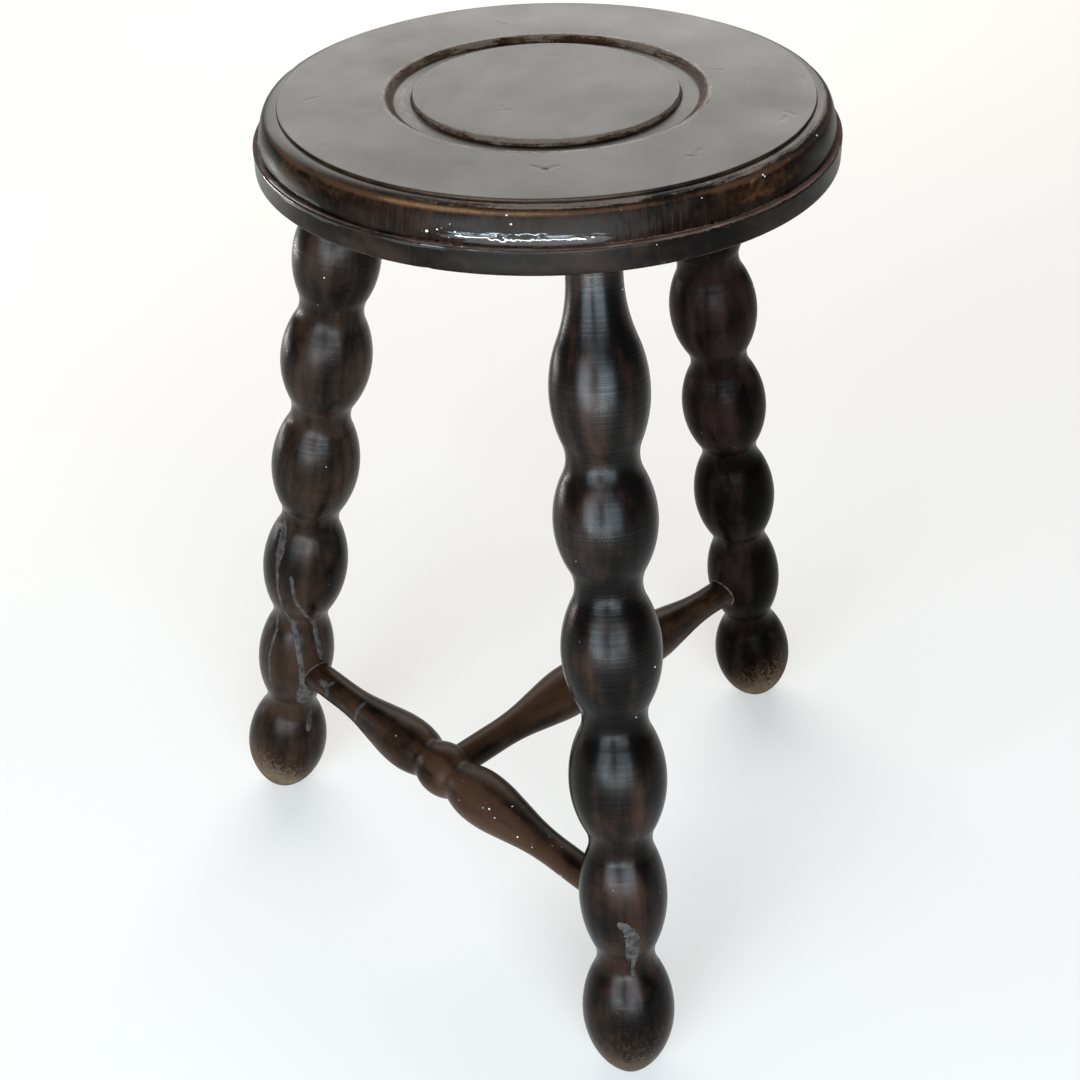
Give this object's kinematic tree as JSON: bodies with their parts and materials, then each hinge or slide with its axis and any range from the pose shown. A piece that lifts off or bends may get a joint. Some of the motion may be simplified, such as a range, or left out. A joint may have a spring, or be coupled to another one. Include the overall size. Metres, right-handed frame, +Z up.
{
  "type": "milking stool",
  "caption": "Dark stained wooden stool with a round moulded seat, splayed bobbin-turned legs and a T of turned stretchers, for sitting on or standing things on.",
  "frame": {"origin": "on the floor, straight under the middle of the round seat", "axes": "+Z up, +X towards the right leg, which carries the short stretcher"},
  "size_m": [0.3467, 0.3562, 0.48],
  "materials": {
    "stained_wood": "satin"
  },
  "bodies": {
    "root": {"seat_board_left": "stained_wood", "seat_board_middle": "stained_wood", "seat_board_right": "stained_wood", "leg_right": "stained_wood", "leg_front": "stained_wood", "leg_left": "stained_wood", "long_stretcher": "stained_wood", "short_stretcher": "stained_wood"}
  },
  "joints": []
}
